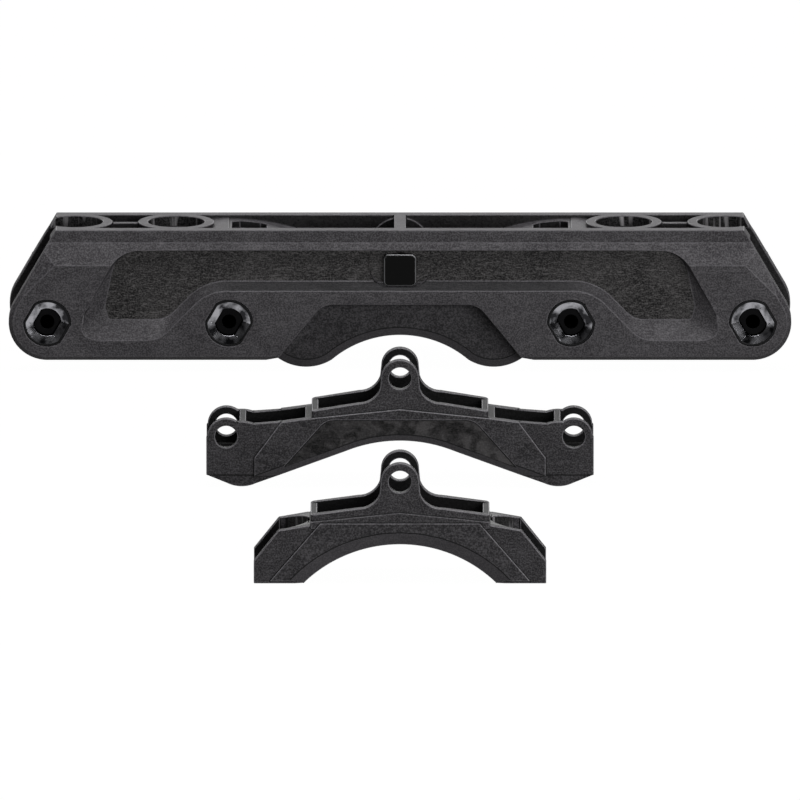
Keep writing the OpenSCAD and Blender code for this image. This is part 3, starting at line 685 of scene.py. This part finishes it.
@dataclass
class GrindBlocks:
    """The fitted block and the two spare blocks, which have the same channel and pin holes.

    Attributes:
        centre: The block in the frame.
        long: The spare block with end lugs.
        short: The spare block with hollow ends.
        hole_r: Radius within which faces belong to a hole.
        hole_tilt: Most that a hole's wall looks across the frame.
        channel_y: Half the width of the channels.
        pocket_z: Height below which all faces between the walls take the painted shade.
        inset_y: Face of the long block's sunk cheeks, from its middle.
        foot_x: Distance from the middle past which the undersides of the end lugs lie.
        foot_z: Height above which they lie.
        foot_fall: Least that they look down.
        bevel_tilt: Least and most that the bevels under the arches look across the frame.
        bevel_fall: Least that these bevels look down.
        hollow_x: Distances from the middle between which the short block's hollows lie.
        hollow_turn: Least that their walls look along the frame.
        finishes: Finishes by skin.
    """

    centre: Block = Block("centre_block", "frame", 0.0, ((0.0, -12.3),), 33.0 * MM)
    long: Block = Block("long_block", "long_block", -211.0 * MM,
                        ((0.0, -12.0), (63.0, -33.7), (-63.0, -33.7)), 60.0 * MM)
    short: Block = Block("short_block", "short_block", -373.4 * MM, ((0.0, -15.4),), 33.0 * MM)
    hole_r: float = 4.2 * MM
    hole_tilt: float = 0.1
    channel_y: float = 9.5 * MM
    pocket_z: float = -30.0 * MM
    inset_y: float = 12.65 * MM
    foot_x: float = 46.0 * MM
    foot_z: float = -50.0 * MM
    foot_fall: float = -0.25
    bevel_tilt: tuple[float, float] = (0.7, 0.98)
    bevel_fall: float = -0.15
    hollow_x: tuple[float, float] = (33.0 * MM, 49.0 * MM)
    hollow_turn: float = 0.15
    finishes: MouldedSet = BLOCK_FINISHES

    def build(self) -> list[bpy.types.Object]:
        """Builds the three blocks, with painted highlight on their edges and in the short block's
        hollows, painted shade in their corners, channels, holes and on their webs and lug undersides,
        and worn cheeks on the long one.

        Returns:
            The three blocks.
        """
        materials = self.finishes.build()
        pieces = []
        for block in (self.centre, self.long, self.short):
            copy = CadCopy(block.node, block.body, Slot.BLOCK, round_mm=0.32, soft_mm=0.22)
            # Sharp edges take painted highlight, sharp inner corners and blunt lines painted shade.
            copy.round_edges(Skin.EDGE_HIGHLIGHT, Skin.CORNER_SHADE, Skin.CORNER_SHADE)
            copy.paint(Skin.SLOPE, self.on_bevel)
            if block is self.short:
                # The hollows' round walls take pale streaks of painted highlight.
                copy.paint(Skin.STREAK_HIGHLIGHT, partial(self.in_hollow, block))
            for side in (-1, 1):
                copy.cut_tops(block.middle_y + side * self.channel_y)
            # Channels and holes take painted shade.
            copy.paint(Skin.INSIDE_SHADE, partial(self.takes_inside_shade, block))
            # Tops of the webs take painted shade.
            copy.paint(Skin.CORNER_SHADE, partial(self.on_web, block))
            if block is self.long:
                # Undersides of the end lugs take painted shade.
                copy.paint(Skin.CORNER_SHADE, self.on_foot, with_edges=True)
                copy.paint(Skin.INLAY, partial(self.on_cheek, block))
            pieces.append(copy.finish(materials))
        return pieces

    def on_bevel(self, middle: Vector, normal: Vector) -> bool:
        """Tells the bevels under the arches from other faces."""
        return self.bevel_tilt[0] < abs(normal.y) < self.bevel_tilt[1] and normal.z < self.bevel_fall

    def in_channel(self, block: Block, middle: Vector) -> bool:
        """Tells faces between the walls of a block from other faces."""
        return abs(middle.y - block.middle_y) < self.channel_y

    def in_hollow(self, block: Block, middle: Vector, normal: Vector) -> bool:
        """Tells the round walls of the hollow ends from other faces."""
        placed = self.hollow_x[0] < abs(middle.x) < self.hollow_x[1] and self.in_channel(block, middle)
        return placed and abs(normal.z) < UPRIGHT and abs(normal.x) > self.hollow_turn

    def takes_inside_shade(self, block: Block, middle: Vector, normal: Vector) -> bool:
        """Tells the faces in the channels and holes that take painted shade from other faces.

        Args:
            block: Block that the face is on.
            middle: Middle of the face.
            normal: Normal of the face.

        Returns:
            Whether the face takes the painted shade.
        """
        place = Vector((middle.x, middle.z))
        in_hole = abs(normal.y) < self.hole_tilt and any(
            (place - Vector((x * MM, z * MM))).length < self.hole_r for x, z in block.holes_mm)
        sunk = abs(normal.z) < TOP or middle.z < self.pocket_z
        return in_hole or (sunk and self.in_channel(block, middle))

    def on_web(self, block: Block, middle: Vector, normal: Vector) -> bool:
        """Tells the tops of the webs between the walls from other faces."""
        return normal.z > TOP and self.in_channel(block, middle) and abs(middle.x) < block.web_x

    def on_foot(self, middle: Vector, normal: Vector) -> bool:
        """Tells the undersides of the end lugs from other faces."""
        return abs(middle.x) > self.foot_x and middle.z > self.foot_z and normal.z < self.foot_fall

    def on_cheek(self, block: Block, middle: Vector, normal: Vector) -> bool:
        """Tells the sunk cheeks from other faces."""
        depth = abs(abs(middle.y - block.middle_y) - self.inset_y)
        return abs(normal.y) > SQUARE and depth < LEVEL


@dataclass
class Axles:
    """Four axles, each with two keyed bushes, a sleeve and a screw.

    Attributes:
        count: Number of axles.
        edge_mm: Width of the rounded edges.
        rim_mm: Depth of the bushes' satin rim.
        cone_tilt: Least and most that a bush's conical mouth looks across the frame.
        satin: Finish of the bushes.
        cone: Finish of their mouths, with bright and dark patches of painted reflection.
        steel: Finish of the sleeves and screws.
    """

    count: int = 4
    edge_mm: float = 0.18
    rim_mm: float = 0.15
    cone_tilt: tuple[float, float] = (0.25, 0.97)
    # Even dark grey, hardly shiny.
    satin: DarkMetal = DarkMetal("black_anodised_aluminium_satin", "#1e1e1f", "#2a2a2b", 1.0, 0.42)
    # Polished black, with bright and dark patches painted into its colour as reflections of the room.
    cone: DarkMetal = DarkMetal("black_anodised_aluminium_polished_painted_reflections", "#38383b", "#d6d6dc", 1.0, 0.18,
                                haze_mm=5.0, haze_range=(0.4, 0.6))
    # Flat black, which leaves the keyed pockets dark.
    steel: DarkMetal = DarkMetal("black_oxide_steel", "#101011", "#1a1a1b", 1.0, 0.45)

    def build(self) -> list[bpy.types.Object]:
        """Builds the bushes with their polished mouths and painted reflections, the sleeves and the
        screws.

        Returns:
            All pieces of the axles.
        """
        bush = [self.satin.build(), self.cone.build()]
        steel = [self.steel.build()]
        kinds = (("near_bush", Slot.BUSH, bush), ("far_bush", Slot.BUSH, bush),
                 ("axle_sleeve", Slot.AXLE, steel), ("axle_screw", Slot.AXLE, steel))
        pieces = []
        for kind, slot, materials in kinds:
            for number in range(1, self.count + 1):
                name = f"{kind}_{number}"
                copy = CadCopy(name, name, slot, round_mm=self.edge_mm, soft_mm=self.edge_mm)
                copy.round_edges()
                if slot is Slot.BUSH:
                    mouth_y = max(abs(vert.co.y) for vert in copy.shape.verts) - self.rim_mm * MM
                    copy.paint(Turned.BRIGHT, partial(self.on_cone, mouth_y))
                pieces.append(copy.finish(materials))
        return pieces

    def on_cone(self, mouth_y: float, middle: Vector, normal: Vector) -> bool:
        """Tells the conical mouth of a bush, behind its rim, from other faces."""
        return self.cone_tilt[0] < abs(normal.y) < self.cone_tilt[1] and abs(middle.y) < mouth_y


@dataclass
class CentrePin:
    """The pin that holds the fitted block, with a square lacquered head on both sides.

    Attributes:
        face_y: Face of the heads, from the middle of the frame.
        rim_mm: Width of the bright rim around that face.
        rim_tilt: Most that the rim looks across the frame.
        lacquer: Finish of the pin and its screw.
        rim: Finish of the rim.
    """

    face_y: float = 19.4 * MM
    rim_mm: float = 0.45
    rim_tilt: float = 0.97
    # Deep gloss black.
    lacquer: DarkMetal = DarkMetal("black_gloss_lacquer", "#060606", "#0a0a0a", 0.0, 0.1, specular=0.12)
    # A thin bright line where the lacquer is worn off.
    rim: DarkMetal = DarkMetal("polished_steel_rim", "#6a6a6c", "#88888a", 1.0, 0.3)

    def build(self) -> list[bpy.types.Object]:
        """Builds the pin and its screw, with the lacquer worn bright along the edge of the face.

        Returns:
            The pin and its screw.
        """
        materials = [self.lacquer.build(), self.rim.build()]
        pieces = []
        for name in ("centre_pin", "pin_screw"):
            copy = CadCopy(name, name, Slot.PIN, round_mm=self.rim_mm)
            copy.round_edges()
            copy.paint(Turned.BRIGHT, self.on_rim)
            pieces.append(copy.finish(materials))
        return pieces

    def on_rim(self, middle: Vector, normal: Vector) -> bool:
        """Tells the rim around the face of a head from other faces."""
        depth = abs(abs(middle.y) - self.face_y)
        return depth < self.rim_mm * MM and abs(normal.y) < self.rim_tilt


@dataclass(frozen=True)
class Lamp:
    """A soft rectangular lamp that looks at the origin.

    Attributes:
        name: Name of the lamp.
        place: Where it hangs, in metres.
        size: Its width and height.
        power: Its power in watts.
    """

    name: str
    place: tuple[float, float, float]
    size: tuple[float, float]
    power: float

    def build(self) -> None:
        """Hangs the lamp."""
        data = bpy.data.lights.new(self.name, "AREA")
        data.shape = "RECTANGLE"
        data.size, data.size_y = self.size
        data.energy = self.power
        lamp = bpy.data.objects.new(self.name, data)
        lamp.location = self.place
        lamp.rotation_euler = (-Vector(self.place)).to_track_quat("-Z", "Y").to_euler()
        bpy.context.scene.collection.objects.link(lamp)


@dataclass
class Studio:
    """Plain pale floor, soft light and the camera at the photograph's angle.

    Attributes:
        image_px: Width and height of the image.
        mm_per_px: Size of a pixel at the object.
        elevation_deg: Angle of the camera above the floor.
        distance: Distance of the camera, for a long lens.
        sensor_mm: Width of the camera's sensor.
        clip_end: Distance past which the camera sees nothing.
        middle_px: Row of the image that shows the level of middle_mm.
        middle_mm: Level along the camera's upward axis, from the origin.
        floor_z: Height of the floor.
        floor_half: Half the width of the floor.
        floor_colour: Colour of the floor's paint.
        white_share: How much of the floor is white to the camera, so that shadows still show.
        mirrored_share: The part of that which reflections see.
        white_glow: Strength of the white.
        sky: Strength of the even light from all around.
        lamps: The lamps.
    """

    image_px: int = 800
    mm_per_px: float = 0.3688
    elevation_deg: float = 12.0
    distance: float = 12.0
    sensor_mm: float = 36.0
    clip_end: float = 100.0
    middle_px: float = 323.3
    middle_mm: float = -37.62
    floor_z: float = -52.5 * MM
    floor_half: float = 6.0
    floor_colour: str = "#4e4e4d"
    white_share: float = 0.8
    mirrored_share: float = 0.45
    white_glow: float = 1.24
    sky: float = 0.04
    lamps: tuple[Lamp, ...] = (Lamp("front", (1.0, -2.0, 0.45), (1.8, 0.6), 21.5),
                               Lamp("top", (0.0, -0.45, 2.2), (2.4, 0.8), 40.0),
                               Lamp("back", (0.0, 2.4, 0.75), (3.0, 1.2), 22.0))

    def camera(self) -> None:
        """Sets a long lens at the photograph's angle, with the object framed as there."""
        angle = math.radians(self.elevation_deg)
        up = Vector((0, math.sin(angle), math.cos(angle)))
        look = Vector((0, math.cos(angle), -math.sin(angle)))
        height = (self.middle_mm - (self.image_px / 2 - self.middle_px) * self.mm_per_px) * MM
        data = bpy.data.cameras.new("camera")
        data.sensor_width = self.sensor_mm
        data.lens = self.sensor_mm * self.distance / (self.image_px * self.mm_per_px * MM)
        data.clip_end = self.clip_end
        camera = bpy.data.objects.new("camera", data)
        camera.location = up * height - look * self.distance
        camera.rotation_euler = (math.pi / 2 - angle, 0, 0)
        bpy.context.scene.collection.objects.link(camera)
        bpy.context.scene.camera = camera

    def paint(self) -> bpy.types.Material:
        """Builds the floor's paint, white to the camera apart from the shadows.

        Returns:
            The finished material.
        """
        material, tree = empty_material("pale_floor")
        rays = add_node(tree, "ShaderNodeLightPath").outputs
        clear = add_node(tree, "ShaderNodeMath", {"operation": "MAXIMUM"},
                         {0: rays["Is Camera Ray"], 1: rays["Is Transmission Ray"]}).outputs["Value"]
        mirrored = add_node(tree, "ShaderNodeMath", {"operation": "MULTIPLY", 1: self.mirrored_share},
                            {0: rays["Is Glossy Ray"]}).outputs["Value"]
        seen = add_node(tree, "ShaderNodeMath", {"operation": "MAXIMUM"},
                        {0: clear, 1: mirrored}).outputs["Value"]
        share = add_node(tree, "ShaderNodeMath", {"operation": "MULTIPLY", 1: self.white_share},
                         {0: seen}).outputs["Value"]
        matt = add_node(tree, "ShaderNodeBsdfDiffuse", {"Color": to_linear(self.floor_colour)})
        glow = add_node(tree, "ShaderNodeEmission", {"Color": WHITE, "Strength": self.white_glow})
        mix = add_node(tree, "ShaderNodeMixShader",
                       links={0: share, 1: matt.outputs["BSDF"], 2: glow.outputs["Emission"]})
        add_node(tree, "ShaderNodeOutputMaterial", links={"Surface": mix.outputs["Shader"]})
        return material

    def floor(self) -> None:
        """Lays the pale floor."""
        shape = bmesh.new()
        bmesh.ops.create_grid(shape, x_segments=1, y_segments=1, size=self.floor_half)
        bmesh.ops.translate(shape, verts=shape.verts, vec=(0, 0, self.floor_z))
        mesh = bpy.data.meshes.new("floor")
        shape.to_mesh(mesh)
        shape.free()
        mesh.materials.append(self.paint())
        floor = bpy.data.objects.new("floor", mesh)
        bpy.context.scene.collection.objects.link(floor)

    def lights(self) -> None:
        """Sets an even sky and large soft lamps."""
        world = bpy.data.worlds.new("studio")
        bpy.context.scene.world = world
        world.use_nodes = True
        sky = world.node_tree.nodes["Background"]
        sky.inputs["Color"].default_value = WHITE
        sky.inputs["Strength"].default_value = self.sky
        for lamp in self.lamps:
            lamp.build()

    def build(self) -> None:
        """Builds camera, floor and lights."""
        bpy.context.scene.view_settings.view_transform = "Standard"
        self.camera()
        self.floor()
        self.lights()


def main() -> None:
    """Builds the studio and the sub-assemblies in order, and logs each piece's number of faces."""
    logging.basicConfig(level=logging.INFO, format="%(name)s: %(message)s")
    Studio().build()
    for assembly in (Chassis(), GrindBlocks(), Axles(), CentrePin()):
        for piece in assembly.build():
            log.info("piece %s: %d faces", piece.name, len(piece.data.polygons))


if __name__ == "__main__":
    main()
